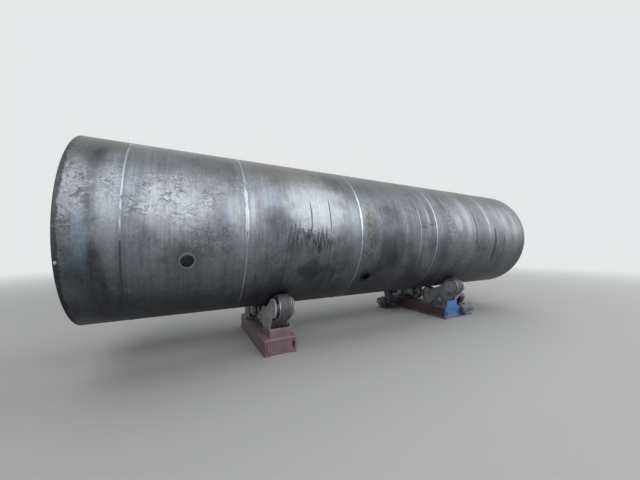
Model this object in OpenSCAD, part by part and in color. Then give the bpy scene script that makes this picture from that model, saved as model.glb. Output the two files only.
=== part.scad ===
// Rolled and welded steel pressure vessel shell, lying on a pair of self-aligning turning rolls.
// X runs along the shell, Y across it and Z up. The origin is on the floor below the shell's middle.

/* [Shell] */
// Outside diameter of the rolled plates
shell_d = 2400; // [2200:10:2600]
// Thickness of the shell plate
shell_wall = 14; // [10:1:20]
// Length of the narrow make-up course at the first end
make_up_course = 515; // [400:5:700]
// Width of a full plate, and so the length of a full course
plate_width = 1800; // [1700:10:1900]
// Length of the last course, cut back from a full plate
last_course = 1530; // [1400:10:1700]
// Flat root left on a plate edge inside its weld bevel
root_face = 4; // [3:0.5:6]
// Angle of the weld bevel on each plate edge
bevel_angle = 30; // [25:1:35]
// Height of a weld cap above the plate
cap_height = 3; // [2:0.5:4]

/* [Nozzle necks] */
// Outside diameter of a nozzle neck
neck_d = 186; // [150:2:210]
// Bore of a nozzle neck
neck_bore = 148; // [110:2:149]
// How far a neck stands out of the shell
neck_out = 16; // [12:1:30]
// How far a neck stands into the shell
neck_in = 6; // [4:1:12]
// Leg of the fillet weld round a neck
neck_weld = 11; // [8:1:11]
// Distance of the first neck from the first girth weld
neck_1_offset = 617; // [300:1:900]
// Angle of the first neck below the horizontal
neck_1_angle = 17.6; // [0:0.1:60]
// Distance of the second neck from the third girth weld
neck_2_offset = 236; // [200:1:900]
// Angle of the second neck below the horizontal
neck_2_angle = 36.3; // [0:0.1:60]

/* [Rollers] */
// Outside diameter of a roller over its tyre
roller_d = 380; // [370:2:390]
// Width of an idler roller
idler_roller_w = 188; // [160:2:236]
// Width of a drive roller
drive_roller_w = 150; // [130:2:150]
// Gap between a drive roller and the side plate away from its gear case
drive_roller_gap = 4; // [3:1:12]
// Radial thickness of the tyre
tyre_thick = 25; // [18:1:30]
// Width of the steel rim left bare on each side of the tyre
rim_edge = 12; // [8:1:18]
// How far the tyre stands out of the steel rim
tyre_proud = 8; // [5:1:12]
// Diameter of the axles
axle_d = 80; // [60:2:90]
// Clearance between shell and rollers, and of rollers on their axles
running_gap = 0.3; // [0.3:0.1:0.5]

/* [Turning rolls] */
// Distance of the idler unit from the middle of the shell
idler_offset = 1980; // [1900:5:2200]
// Distance of the drive unit from the middle of the shell
drive_offset = 2020; // [1900:5:2200]
// Length of a unit's base frame across the shell
frame_length = 1640; // [1620:10:1800]
// Width of a base frame
frame_width = 500; // [480:10:560]
// Height of a base frame
frame_height = 226; // [200:2:230]
// Thickness of a base frame's top plate
frame_top = 16; // [12:1:20]
// Thickness of a base frame's side and end plates
frame_plate = 12; // [10:1:16]
// How far the end plate is set back under the top plate
end_setback = 18; // [12:1:30]
// Width of the foot strips under a base frame
foot_width = 90; // [70:5:110]
// How far top plate and foot strips stand out past the side plates
lip = 10; // [6:1:14]

/* [Yokes and bogies] */
// Distance between the pivots of a unit's two bogies
pivot_spread = 1256; // [1240:2:1270]
// Height of the pivot that a bogie tilts on
pivot_height = 400; // [390:2:410]
// Distance between the two axles of a bogie
axle_spread = 656; // [640:2:670]
// Distance of the pivot from the line through the two axles
axle_rise = 183; // [175:1:195]
// Diameter of the pivot pins
pivot_d = 80; // [60:2:90]
// Thickness of a yoke's base plate
yoke_base = 20; // [16:1:24]
// Thickness of a yoke's two ears
ear_thick = 16; // [12:1:20]
// Radius of an ear's round top
ear_radius = 150; // [140:2:154]
// Height of an ear's top above the pivot
ear_rise = 100; // [90:2:104]
// Height of the plate that closes a yoke's front
yoke_front = 140; // [120:5:150]
// Thickness of a bogie's side plates
cheek_thick = 28; // [20:1:30]
// Clear width between a bogie's two side plates
bogie_inner_w = 244; // [244:2:260]
// Gap between a bogie and each ear
ear_gap = 3; // [2:1:6]
// Radius of a side plate's round outer end
cheek_end = 140; // [130:2:150]
// Clearance between the shell and the hollow in a side plate's upper edge
cheek_clear = 60; // [50:2:90]
// Outside diameter of the tube that the pivot pin runs in
hub_d = 150; // [130:2:160]

/* [Drive] */
// Diameter of the motors
motor_d = 210; // [190:2:216]
// Length of a motor with its fan cowl
motor_length = 370; // [340:5:400]
// Height of a motor's axis above the floor
motor_height = 150; // [145:1:160]
// Distance of a motor's axis from its bogie's pivot, measured across the shell
motor_offset = 107; // [100:1:120]
// Thickness of the gear case on a bogie's side
case_thick = 100; // [80:5:120]
// Radius of the gear case's round ends
case_radius = 104; // [90:2:110]
// Gap between a yoke and the gear case
case_gap = 6; // [4:1:10]
// Length of the coupling between gear case and reducer
coupling_length = 185; // [160:5:200]
// Length of the reducer along the shell
reducer_length = 140; // [110:5:170]
// Radius of the reducer's upper round
reducer_top = 90; // [80:2:92]
// Radius of the reducer's lower round
reducer_foot = 58; // [50:2:60]
// Height of the reducer's lower shaft above the floor
reducer_height = 180; // [170:2:190]
// Distance of the reducer's lower shaft from its bogie's pivot, measured across the shell
reducer_setback = 68; // [64:1:80]
// Thickness of the guard over the belt between motor and reducer
guard_thick = 46; // [40:2:60]
// Radius of the bearing cover at the free end of the driven axle
bearing_cover = 105; // [90:1:120]
// Number of cooling ribs round a motor
rib_count = 20; // [12:1:28]

/* [Hidden] */

// Smoothness of the large and of the small round surfaces
round_fn = 144;
small_fn = 48;
arc_steps = 12;

// Overlap that makes one cut pass cleanly through a face
cut = 1;
// Clearance of a pin or weld that sits still in its hole or groove
seat_gap = 0.2;

shell_r = shell_d / 2;
shell_inner_r = shell_r - shell_wall;
shell_length = make_up_course + (plate_width - make_up_course) + 3 * plate_width + last_course;
first_end = -shell_length / 2;
course_ends = [
    first_end,
    first_end + make_up_course,
    first_end + plate_width,
    first_end + 2 * plate_width,
    first_end + 3 * plate_width,
    first_end + 4 * plate_width,
    first_end + shell_length
];
bevel_run = (shell_wall - root_face) * tan(bevel_angle);

neck_1_x = course_ends[1] + neck_1_offset;
neck_2_x = course_ends[3] + neck_2_offset;
neck_r = neck_d / 2;

roller_r = roller_d / 2;
wheel_r = roller_r - tyre_thick;
rim_r = roller_r - tyre_proud;
axle_r = axle_d / 2;
pivot_r = pivot_d / 2;

// Each bogie tilts until both its rollers carry the shell, so its pivot lies below the shell's axis
// on the line that halves the distance between the two axles, and that sets the shell's height
centre_distance = shell_r + running_gap + roller_r;
pivot_distance = sqrt(pow(centre_distance, 2) - pow(axle_spread / 2, 2)) + axle_rise;
pivot = [pivot_spread / 2, pivot_height];
axis_height = pivot_height + sqrt(pow(pivot_distance, 2) - pow(pivot[0], 2));
shell_axis = [0, axis_height];
pivot_angle = asin(pivot[0] / pivot_distance);
axle_angle = asin(axle_spread / 2 / centre_distance);
outer_axle = below_axis(centre_distance, pivot_angle + axle_angle);
inner_axle = below_axis(centre_distance, pivot_angle - axle_angle);

cheek_in = bogie_inner_w / 2;
cheek_out = cheek_in + cheek_thick;
ear_in = cheek_out + ear_gap;
ear_out = ear_in + ear_thick;

function polar(c, r, a) = [c[0] + r * cos(a), c[1] + r * sin(a)];
function below_axis(r, a) = polar(shell_axis, r, a - 90);
function arc(c, r, from, to) = [for (i = [0:arc_steps]) polar(c, r, from + (to - from) * i / arc_steps)];

// Extrudes an outline drawn as distance out from the shell's axis and height, from x1 to x2
module across(x1, x2)
    translate([x1, 0, 0])
        rotate([90, 0, 90])
            linear_extrude(x2 - x1)
                mirror([1, 0])
                    children();

// A round bar along X at a point of such an outline
module bar(p, r, x1, x2)
    translate([x1, -p[0], p[1]])
        rotate([0, 90, 0])
            cylinder(h = x2 - x1, r = r, $fn = small_fn);

// Turns an outline of distance along X and radius round the shell's axis
module turned_about_shell()
    translate([0, 0, axis_height])
        rotate([0, 90, 0])
            rotate_extrude($fn = round_fn)
                children();

// Places the front half of a unit as it stands, or turned round to the back
module on_side(offset, back)
    translate([offset, 0, 0])
        rotate([0, 0, back ? 180 : 0])
            children();

// Shell

module course_ring(x1, x2)
    turned_about_shell()
        polygon([
            [shell_inner_r, x1],
            [shell_inner_r + root_face, x1],
            [shell_r, x1 + bevel_run],
            [shell_r, x2 - bevel_run],
            [shell_inner_r + root_face, x2],
            [shell_inner_r, x2]
        ]);

module on_neck(x, angle)
    translate([x, 0, axis_height])
        rotate([90 + angle, 0, 0])
            children();

module neck_hole(x, angle)
    on_neck(x, angle)
        translate([0, 0, shell_inner_r - 5 * cut - neck_in])
            cylinder(h = shell_wall + neck_in + 20 * cut, r = neck_r + seat_gap, $fn = small_fn);

module shell_course(i)
    color("#4a4d55")
        difference() {
            course_ring(course_ends[i - 1], course_ends[i]);
            if (i == 2) neck_hole(neck_1_x, neck_1_angle);
            if (i == 4) neck_hole(neck_2_x, neck_2_angle);
        }

// The weld fills the groove between two bevels, with a low cap outside and another inside
module girth_weld(i)
    color("#8b8d92")
        turned_about_shell() {
            x = course_ends[i];
            cap = bevel_run + 2;
            polygon([
                [shell_inner_r + root_face + seat_gap, x],
                [shell_r + seat_gap / 2, x - bevel_run + seat_gap / 2],
                [shell_r + seat_gap / 2, x - cap],
                [shell_r + 0.7 * cap_height, x - 0.6 * cap],
                [shell_r + cap_height, x],
                [shell_r + 0.7 * cap_height, x + 0.6 * cap],
                [shell_r + seat_gap / 2, x + cap],
                [shell_r + seat_gap / 2, x + bevel_run - seat_gap / 2]
            ]);
            polygon([
                [shell_inner_r - seat_gap / 2, x - cap],
                [shell_inner_r - seat_gap / 2, x + cap],
                [shell_inner_r - 0.7 * cap_height, x + 0.5 * cap],
                [shell_inner_r - 0.7 * cap_height, x - 0.5 * cap]
            ]);
        }

module nozzle_neck(x, angle)
    color("#63666d")
        difference() {
            union() {
                on_neck(x, angle)
                    translate([0, 0, shell_inner_r - neck_in])
                        cylinder(h = neck_in + shell_wall + neck_out, r = neck_r, $fn = small_fn);
                difference() {
                    on_neck(x, angle)
                        translate([0, 0, shell_r - neck_weld])
                            cylinder(
                                h = 2 * neck_weld,
                                r1 = neck_r + 1.5 * neck_weld,
                                r2 = neck_r - 0.5 * neck_weld,
                                $fn = small_fn
                            );
                    translate([x - shell_r / 2, 0, axis_height])
                        rotate([0, 90, 0])
                            cylinder(h = shell_r, r = shell_r + seat_gap / 2, $fn = round_fn);
                }
            }
            on_neck(x, angle)
                translate([0, 0, shell_inner_r - neck_in - cut])
                    cylinder(
                        h = neck_in + shell_wall + neck_out + 2 * cut,
                        r = neck_bore / 2,
                        $fn = small_fn
                    );
        }

// Base frames

frame_half = frame_length / 2;
side_x = frame_width / 2 - lip;
lug_radius = 34;
lug_thick = 14;
slot_size = [26, 100];

module frame_box(from, to)
    translate(from)
        cube(to - from);

// Half of a frame, from the middle to its front end
module frame_front_half() {
    end_y = -frame_half + end_setback;
    top_z = frame_height - frame_top;
    frame_box([-frame_width / 2, -frame_half, top_z], [frame_width / 2, 0, frame_height]);
    for (s = [0, 1])
        mirror([s, 0, 0]) {
            frame_box([side_x - frame_plate, -frame_half, 0], [side_x, 0, frame_height]);
            frame_box([frame_width / 2 - foot_width, -frame_half, 0], [frame_width / 2, 0, frame_plate]);
        }
    difference() {
        frame_box([-side_x, end_y, 0], [side_x, end_y + frame_plate, top_z + cut]);
        translate([side_x - 2 * slot_size[0], end_y - cut, frame_height / 2 - slot_size[1] / 2])
            cube([slot_size[0], frame_plate + 2 * cut, slot_size[1]]);
    }
    frame_box([-side_x, -frame_plate / 2, frame_plate], [side_x, 0, top_z + cut]);
    frame_box([-side_x, -pivot[0], 4 * frame_plate], [side_x, frame_plate - pivot[0], top_z + cut]);
    difference() {
        translate([-side_x + 2 * lug_thick, end_y, frame_height / 2])
            rotate([0, 90, 0])
                cylinder(h = lug_thick, r = 1.5 * lug_radius, $fn = small_fn);
        translate([-side_x, end_y, frame_height / 2])
            rotate([0, 90, 0])
                cylinder(h = 4 * lug_thick, r = lug_radius, $fn = small_fn);
        frame_box([-side_x, end_y + frame_plate / 2, 0], [side_x, 0, frame_height]);
    }
}

module base_frame()
    for (turn = [0, 180])
        rotate([0, 0, turn])
            frame_front_half();

// The platform that carries a motor stands beside the drive unit's frame
case_in = ear_out + case_gap;
case_out = case_in + case_thick;
motor_in = case_out + coupling_length / 2;
motor_out = motor_in + motor_length;
platform_edge = 6;

module motor_platform() {
    from_y = -frame_half;
    to_y = from_y + 1.6 * motor_d;
    frame_box([side_x - cut, from_y, 0], [motor_out + platform_edge, to_y, frame_plate]);
    for (y = [from_y, to_y - frame_plate])
        frame_box([side_x - cut, y, 0], [frame_width / 2 + foot_width / 2, y + frame_plate, 3 * frame_plate]);
}

module idler_frame()
    color("#6a4a50")
        translate([-idler_offset, 0, 0])
            base_frame();

module drive_frame()
    color("#4a3338")
        translate([drive_offset, 0, 0]) {
            base_frame();
            for (turn = [0, 180])
                rotate([0, 0, turn])
                    motor_platform();
        }

// Yokes

yoke_top = frame_height + yoke_base;
yoke_back_u = pivot[0] - 1.3 * ear_radius;
yoke_front_u = frame_half - 12;

module ear_outline() {
    top = [pivot[0], pivot_height + ear_rise - ear_radius];
    polygon(concat(
        [[yoke_back_u, yoke_top - cut], [yoke_front_u, yoke_top - cut]],
        [[yoke_front_u, yoke_top + 0.9 * yoke_front]],
        arc(top, ear_radius, 12, 168),
        [[yoke_back_u, yoke_top + 0.2 * yoke_front]]
    ));
}

// Rib that stiffens an ear on the side away from the gear case
rib_thick = 10;
rib_foot = 42;

module ear_rib(u, top)
    translate([-ear_out + cut, rib_thick / 2 - u, yoke_top - cut])
        rotate([90, 0, 0])
            linear_extrude(rib_thick)
                polygon([
                    [0, 0],
                    [-rib_foot, 0],
                    [-rib_foot, rib_thick + cut],
                    [-rib_thick, top - yoke_top],
                    [0, top - yoke_top]
                ]);

module yoke_solid(ribs)
    difference() {
        union() {
            if (ribs)
                for (side = [-1, 1]) {
                    ear_rib(pivot[0] + side * (pivot_r + 2 * rib_thick), pivot_height);
                    ear_rib(pivot[0] + side * (pivot_r + 6 * rib_thick), pivot_height - 2 * rib_thick);
                }
            frame_box(
                [-frame_width / 2 + lip, -yoke_front_u, frame_height],
                [frame_width / 2 - lip, -yoke_back_u, yoke_top]
            );
            across(-ear_out, -ear_in) ear_outline();
            across(ear_in, ear_out) ear_outline();
            frame_box(
                [-ear_out, -yoke_front_u, yoke_top - cut],
                [ear_out, ear_thick - yoke_front_u, yoke_top + yoke_front]
            );
            frame_box(
                [-ear_out, -yoke_back_u - ear_thick, yoke_top - cut],
                [ear_out, -yoke_back_u, yoke_top + 0.2 * yoke_front]
            );
        }
        bar(pivot, pivot_r + seat_gap, -ear_out - cut, ear_out + cut);
    }

module idler_yoke(back)
    color("#7a5f66")
        on_side(-idler_offset, back)
            yoke_solid(false);

module drive_yoke(back)
    color("#4f7fc4")
        on_side(drive_offset, back)
            yoke_solid(true);

// Bogies

tail = 83;
tail_half = 76;
tail_corner = 28;
hub_r = hub_d / 2;
hollow_r = shell_r + cheek_clear;

// Side plate of a bogie: round outer end, hollow upper edge, hub and squared inner end
module cheek_outline() {
    tail_u = inner_axle[0] - tail;
    polygon(concat(
        arc(outer_axle, cheek_end, -112, 118),
        [for (i = [0:arc_steps]) below_axis(hollow_r, pivot_angle + 8 - 14 * i / arc_steps)],
        arc([tail_u + tail_corner, inner_axle[1] + tail_half - tail_corner], tail_corner, 90, 180),
        arc([tail_u + tail_corner, inner_axle[1] - tail_half + tail_corner], tail_corner, 180, 270),
        [[inner_axle[0] + tail_half, inner_axle[1] - tail_half]],
        arc(pivot, 1.25 * hub_r, 245, 300)
    ));
}

// Apron that closes the bogie's underside below the outer roller
apron_from = polar(pivot, 1.25 * hub_r, 300);
apron_to = polar(outer_axle, roller_r + 40, -118);
apron_thick = 12;

module apron_outline()
    polygon([
        apron_from,
        [apron_from[0] + apron_thick, apron_from[1] - apron_thick / 2],
        [apron_to[0] + apron_thick, apron_to[1] - apron_thick / 2],
        apron_to
    ]);

// Web between the two rollers, from the hub up to the hollow edge
web_thick = 24;

module web_outline() {
    top = below_axis(hollow_r + web_thick / 2, pivot_angle);
    side = [cos(pivot_angle), sin(pivot_angle)] * web_thick / 2;
    polygon([pivot - side, pivot + side, top + side, top - side]);
}

// Bosses round the axles stand a little out of the side plates
boss_out = cheek_out + 6;

module bogie_solid(boss)
    difference() {
        union() {
            across(-cheek_out, -cheek_in) cheek_outline();
            across(cheek_in, cheek_out) cheek_outline();
            across(-cheek_out, cheek_out) apron_outline();
            across(-cheek_in - cut, cheek_in + cut) web_outline();
            bar(pivot, hub_r, -cheek_out, cheek_out);
            for (p = [outer_axle, inner_axle])
                bar(p, boss, -boss_out, boss_out);
        }
        for (p = [outer_axle, inner_axle]) {
            bar(p, axle_r + seat_gap, -boss_out - cut, boss_out + cut);
            bar(p, max(boss, roller_r) + 5, -cheek_in, cheek_in);
        }
        bar(pivot, pivot_r + seat_gap, -cheek_out - cut, cheek_out + cut);
    }

module idler_bogie(back)
    color("#6f6f70")
        on_side(-idler_offset, back)
            bogie_solid(axle_r + 14);

module drive_bogie(back)
    color("#4e5054")
        on_side(drive_offset, back)
            bogie_solid(axle_r + 32);

// Pivot pins and axles, with a flat keeper disc on each end that stays clear of the gear case

keeper = 10;
keeper_rim = 8;

module headed_pin(p, r, x1, x2) {
    bar(p, r, x1, x2);
    bar(p, r + keeper_rim, x1 - keeper, x1);
    bar(p, r + keeper_rim, x2, x2 + keeper);
}

head_in = boss_out + seat_gap;

module idler_pins()
    color("#55565a")
        for (back = [false, true])
            on_side(-idler_offset, back) {
                headed_pin(pivot, pivot_r, -ear_out - seat_gap, ear_out + seat_gap);
                for (p = [outer_axle, inner_axle])
                    headed_pin(p, axle_r, -head_in, head_in);
            }

// The pivot pin and the driven axle run into the gear case, and a bearing cover closes the axle's free end
module drive_pins()
    color("#46474b")
        for (back = [false, true])
            on_side(drive_offset, back) {
                bar(pivot, pivot_r, -ear_out - seat_gap, case_in - seat_gap);
                bar(pivot, pivot_r + keeper_rim, -ear_out - seat_gap - keeper, -ear_out - seat_gap);
                headed_pin(inner_axle, axle_r, -head_in, head_in);
                bar(outer_axle, axle_r, -head_in, case_in - seat_gap);
                bar(outer_axle, bearing_cover, -head_in - keeper, -head_in);
                bar(outer_axle, 0.6 * bearing_cover, -head_in - 2 * keeper, -head_in - keeper);
            }

// Rollers: a dished steel wheel with a tyre between its two rims

module turned_on(p)
    translate([0, -p[0], p[1]])
        rotate([0, 90, 0])
            rotate_extrude($fn = round_fn)
                children();

wheel_hub_r = axle_r + 34;
hub_half = bogie_inner_w / 2 - 2;
dish_depth = 26;
rim_thick = 18;
rim_chamfer = 4;
tyre_chamfer = 6;

// Outline of a wheel whose rim has width w, with its middle at m along a hub that fills the bogie
module wheel_outline(w, m) {
    bore = axle_r + running_gap;
    dish_in = wheel_hub_r + dish_depth / 3;
    dish_out = wheel_r - rim_thick - dish_depth / 3;
    polygon(concat(
        [[bore, -hub_half], [wheel_hub_r, -hub_half], [wheel_hub_r, m - w / 2 + dish_depth / 2]],
        [[dish_in, m - w / 2 + dish_depth], [dish_out, m - w / 2 + dish_depth]],
        [[wheel_r - rim_thick, m - w / 2], [rim_r - rim_chamfer, m - w / 2]],
        [[rim_r, m - w / 2 + rim_chamfer], [rim_r, m - w / 2 + rim_edge], [wheel_r, m - w / 2 + rim_edge]],
        [[wheel_r, m + w / 2 - rim_edge], [rim_r, m + w / 2 - rim_edge], [rim_r, m + w / 2 - rim_chamfer]],
        [[rim_r - rim_chamfer, m + w / 2], [wheel_r - rim_thick, m + w / 2]],
        [[dish_out, m + w / 2 - dish_depth], [dish_in, m + w / 2 - dish_depth]],
        [[wheel_hub_r, m + w / 2 - dish_depth / 2], [wheel_hub_r, hub_half], [bore, hub_half]]
    ));
}

module tyre_outline(w, m) {
    half = w / 2 - rim_edge - seat_gap;
    polygon([
        [wheel_r + seat_gap, m - half],
        [roller_r - tyre_chamfer, m - half],
        [roller_r, m - half + tyre_chamfer],
        [roller_r, m + half - tyre_chamfer],
        [roller_r - tyre_chamfer, m + half],
        [wheel_r + seat_gap, m + half]
    ]);
}

module idler_wheel(back, p)
    color("#7c7d80")
        on_side(-idler_offset, back)
            turned_on(p)
                wheel_outline(idler_roller_w, 0);

module idler_tyre(back, p)
    color("#3a3b3e")
        on_side(-idler_offset, back)
            turned_on(p)
                tyre_outline(idler_roller_w, 0);

// The drive rollers sit close to the side plate that is away from the gear case
drive_roller_mid = (drive_roller_w - bogie_inner_w) / 2 + drive_roller_gap;

module drive_wheel(back, p)
    color("#7c7d80")
        on_side(drive_offset, back)
            turned_on(p)
                wheel_outline(drive_roller_w, drive_roller_mid);

module drive_tyre(back, p)
    color("#3a3b3e")
        on_side(drive_offset, back)
            turned_on(p)
                tyre_outline(drive_roller_w, drive_roller_mid);

// Drive gear

// Outline of a strap that joins two rounds of different radius by their common tangents
module strap_outline(p, rp, q, rq) {
    run = q - p;
    dist = norm(run);
    along = atan2(run[1], run[0]);
    lean = acos((rp - rq) / dist);
    polygon(concat(
        arc(p, rp, along + lean, along + 360 - lean),
        arc(q, rq, along - lean, along + lean)
    ));
}

// Gear case that brings the drive from the pivot up to the outer roller
case_edge = 12;

module gear_case(back)
    color("#b9bab8")
        on_side(drive_offset, back) {
            across(case_in, case_out - case_edge)
                strap_outline(pivot, case_radius, outer_axle, case_radius);
            across(case_out - case_edge - cut, case_out)
                strap_outline(pivot, case_radius - case_edge, outer_axle, case_radius - case_edge);
            bar(outer_axle, case_radius / 2, case_out - cut, case_out + case_edge);
        }

motor_axis = [pivot[0] + motor_offset, motor_height];
reducer_shaft = [pivot[0] - reducer_setback, reducer_height];
coupling_r = pivot_r + 12;
reducer_in = case_out + coupling_length;
reducer_out = reducer_in + reducer_length;
guard_out = motor_in - seat_gap;
guard_in = guard_out - guard_thick;
motor_r = motor_d / 2;

// Upright reducer with the coupling at its top, and the belt guard beside the motor at its foot
module reducer(back)
    color("#5a4a5e")
        on_side(drive_offset, back) {
            across(reducer_in, reducer_out)
                strap_outline(reducer_shaft, reducer_foot, pivot, reducer_top);
            bar(pivot, coupling_r, case_out + seat_gap, reducer_in + cut);
            bar(reducer_shaft, 0.8 * reducer_foot, guard_in, reducer_in + cut);
            across(guard_in, guard_out)
                strap_outline(reducer_shaft, reducer_foot, motor_axis, 0.7 * motor_r);
            frame_box(
                [reducer_in + 20, -reducer_shaft[0] - 0.8 * reducer_foot, frame_plate],
                [reducer_out - 20, 0.8 * reducer_foot - reducer_shaft[0], reducer_height]
            );
            frame_box(
                [reducer_in, -reducer_shaft[0] - reducer_foot, frame_plate],
                [reducer_out, reducer_foot - reducer_shaft[0], 2.5 * frame_plate]
            );
        }

cowl_length = 80;
cooling_rib = 14;
foot_from = 0.3 * motor_length;
foot_to = 0.7 * motor_length;

module motor(back)
    color("#6e7078")
        on_side(drive_offset, back) {
            core_r = motor_r - cooling_rib;
            bar(motor_axis, motor_r, motor_in, motor_in + 2 * cooling_rib);
            bar(motor_axis, core_r, motor_in, motor_out);
            bar(motor_axis, motor_r - 4, motor_out - cowl_length, motor_out);
            for (i = [0:rib_count - 1])
                translate([motor_in, -motor_axis[0], motor_axis[1]])
                    rotate([i * 360 / rib_count, 0, 0])
                        translate([0, -3, core_r - 4])
                            cube([motor_length - cowl_length + cut, 6, cooling_rib]);
            frame_box(
                [motor_in + foot_from, -motor_axis[0] - 0.8 * motor_r, frame_plate],
                [motor_in + foot_to, 0.8 * motor_r - motor_axis[0], 2 * frame_plate]
            );
            frame_box(
                [motor_in + foot_from + 8, -motor_axis[0] - 0.6 * motor_r, frame_plate],
                [motor_in + foot_to - 8, 0.6 * motor_r - motor_axis[0], motor_height - 0.6 * motor_r]
            );
            frame_box(
                [motor_in + foot_from, -motor_axis[0] - motor_r / 2, motor_height + 0.7 * motor_r],
                [motor_in + foot_to, motor_r / 2 - motor_axis[0], motor_height + motor_r + cooling_rib / 2]
            );
        }

shell_course(1);  // shell_course_1
shell_course(2);  // shell_course_2
shell_course(3);  // shell_course_3
shell_course(4);  // shell_course_4
shell_course(5);  // shell_course_5
shell_course(6);  // shell_course_6
girth_weld(1);  // girth_weld_1
girth_weld(2);  // girth_weld_2
girth_weld(3);  // girth_weld_3
girth_weld(4);  // girth_weld_4
girth_weld(5);  // girth_weld_5
nozzle_neck(neck_1_x, neck_1_angle);  // nozzle_neck_1
nozzle_neck(neck_2_x, neck_2_angle);  // nozzle_neck_2
idler_frame();
idler_yoke(false);  // idler_yoke_front
idler_yoke(true);  // idler_yoke_back
idler_bogie(false);  // idler_bogie_front
idler_bogie(true);  // idler_bogie_back
idler_pins();
idler_wheel(false, outer_axle);  // idler_wheel_front_outer
idler_wheel(false, inner_axle);  // idler_wheel_front_inner
idler_wheel(true, inner_axle);  // idler_wheel_back_inner
idler_wheel(true, outer_axle);  // idler_wheel_back_outer
idler_tyre(false, outer_axle);  // idler_tyre_front_outer
idler_tyre(false, inner_axle);  // idler_tyre_front_inner
idler_tyre(true, inner_axle);  // idler_tyre_back_inner
idler_tyre(true, outer_axle);  // idler_tyre_back_outer
drive_frame();
drive_yoke(false);  // drive_yoke_front
drive_yoke(true);  // drive_yoke_back
drive_bogie(false);  // drive_bogie_front
drive_bogie(true);  // drive_bogie_back
drive_pins();
drive_wheel(false, outer_axle);  // drive_wheel_front_outer
drive_wheel(false, inner_axle);  // drive_wheel_front_inner
drive_wheel(true, inner_axle);  // drive_wheel_back_inner
drive_wheel(true, outer_axle);  // drive_wheel_back_outer
drive_tyre(false, outer_axle);  // drive_tyre_front_outer
drive_tyre(false, inner_axle);  // drive_tyre_front_inner
drive_tyre(true, inner_axle);  // drive_tyre_back_inner
drive_tyre(true, outer_axle);  // drive_tyre_back_outer
gear_case(false);  // gear_case_front
gear_case(true);  // gear_case_back
reducer(false);  // reducer_front
reducer(true);  // reducer_back
motor(false);  // motor_front
motor(true);  // motor_back
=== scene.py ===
"""Finishes and small parts for a rolled steel vessel shell that lies on two turning rolls."""

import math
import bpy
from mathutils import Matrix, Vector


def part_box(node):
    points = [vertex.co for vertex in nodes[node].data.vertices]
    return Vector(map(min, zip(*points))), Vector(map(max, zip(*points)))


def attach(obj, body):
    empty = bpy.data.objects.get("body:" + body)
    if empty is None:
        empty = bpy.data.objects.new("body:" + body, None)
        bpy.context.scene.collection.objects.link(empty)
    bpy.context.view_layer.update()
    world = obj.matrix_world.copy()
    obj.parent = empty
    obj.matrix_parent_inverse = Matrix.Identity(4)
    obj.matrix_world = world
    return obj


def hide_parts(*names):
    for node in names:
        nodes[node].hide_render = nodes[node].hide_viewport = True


bl_info = {
    "name": "Vessel shell on turning rolls",
    "version": (1, 0, 0),
    "blender": (4, 5, 0),
    "location": "3D View > Sidebar > Vessel",
    "description": "Plate, weld, paint and casting finishes for a vessel shell on turning rolls",
    "category": "Object",
}

import bmesh
import bpy
from mathutils import Matrix, Vector

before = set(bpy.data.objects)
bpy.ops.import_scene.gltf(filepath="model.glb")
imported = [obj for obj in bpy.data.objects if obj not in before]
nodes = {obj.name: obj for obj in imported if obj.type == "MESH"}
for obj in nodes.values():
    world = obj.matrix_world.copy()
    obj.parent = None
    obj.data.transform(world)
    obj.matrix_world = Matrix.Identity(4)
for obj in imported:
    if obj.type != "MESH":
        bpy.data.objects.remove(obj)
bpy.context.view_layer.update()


def linear(code):
    """The linear colour of an sRGB hex value, with full alpha."""
    parts = [int(code[i : i + 2], 16) / 255 for i in (1, 3, 5)]
    return tuple(p / 12.92 if p <= 0.04045 else ((p + 0.055) / 1.055) ** 2.4 for p in parts) + (1.0,)


def middle(name):
    """The middle of a node's box."""
    low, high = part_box(name)
    return (low + high) / 2


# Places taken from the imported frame, in metres

AXIS_HEIGHT = middle("shell_course_1").z
SHELL_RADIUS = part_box("shell_course_1")[1].z - AXIS_HEIGHT
# A girth weld's cap stands 17.2 mm above the shell's bore
BORE_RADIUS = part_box("girth_weld_1")[1].z - AXIS_HEIGHT - 0.0172
COURSES = ["shell_course_%d" % i for i in range(1, 7)]
SEAMS = [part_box(name)[1].x for name in COURSES[:-1]]
UNIT_X = {unit: middle(unit + "_yoke_front").x for unit in ("idler", "drive")}
FRAME_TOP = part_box("idler_frame")[1].z
YOKE_BASE_TOP = FRAME_TOP + 0.020
YOKE_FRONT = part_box("idler_yoke_back")[1].y
SIDES = {"front": -1, "back": 1}

# Places on a unit, measured out from below the shell's axis, up from the floor, and along the shell
# from the unit's middle

PIVOT_OUT, PIVOT_HEIGHT = 0.628, 0.400
FOOT_BOLT_ALONG = 0.205
FOOT_BOLTS_OUT = (0.475, 0.765)
# Outer faces of the keeper discs on the pivot pins and the axles
PIN_END = {"pivot": 0.1792, "inner": 0.1662, "outer": 0.1662}
# Half the clear width between a bogie's side plates, and half the width of a frame
BOGIE_HALF, FRAME_HALF = 0.122, 0.250
GEAR_CASE_FACE = 0.275
MOTOR_OUT, MOTOR_HEIGHT = 0.735, 0.150
MOTOR_START, MOTOR_END = [corner.x - UNIT_X["drive"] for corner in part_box("motor_front")]
REDUCER_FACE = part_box("reducer_front")[1].x - UNIT_X["drive"]
# The lid of the terminal box, along the shell
LID_START, LID_END = MOTOR_START + 0.111, MOTOR_START + 0.259
LID_HEIGHT = MOTOR_HEIGHT + 0.112
# The reducer's lower shaft
SHAFT_OUT, SHAFT_HEIGHT = 0.560, 0.180

# Rotation that lays a disc's or a cylinder's axis along the shell
FACING_X = (0, math.radians(90), 0)

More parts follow.
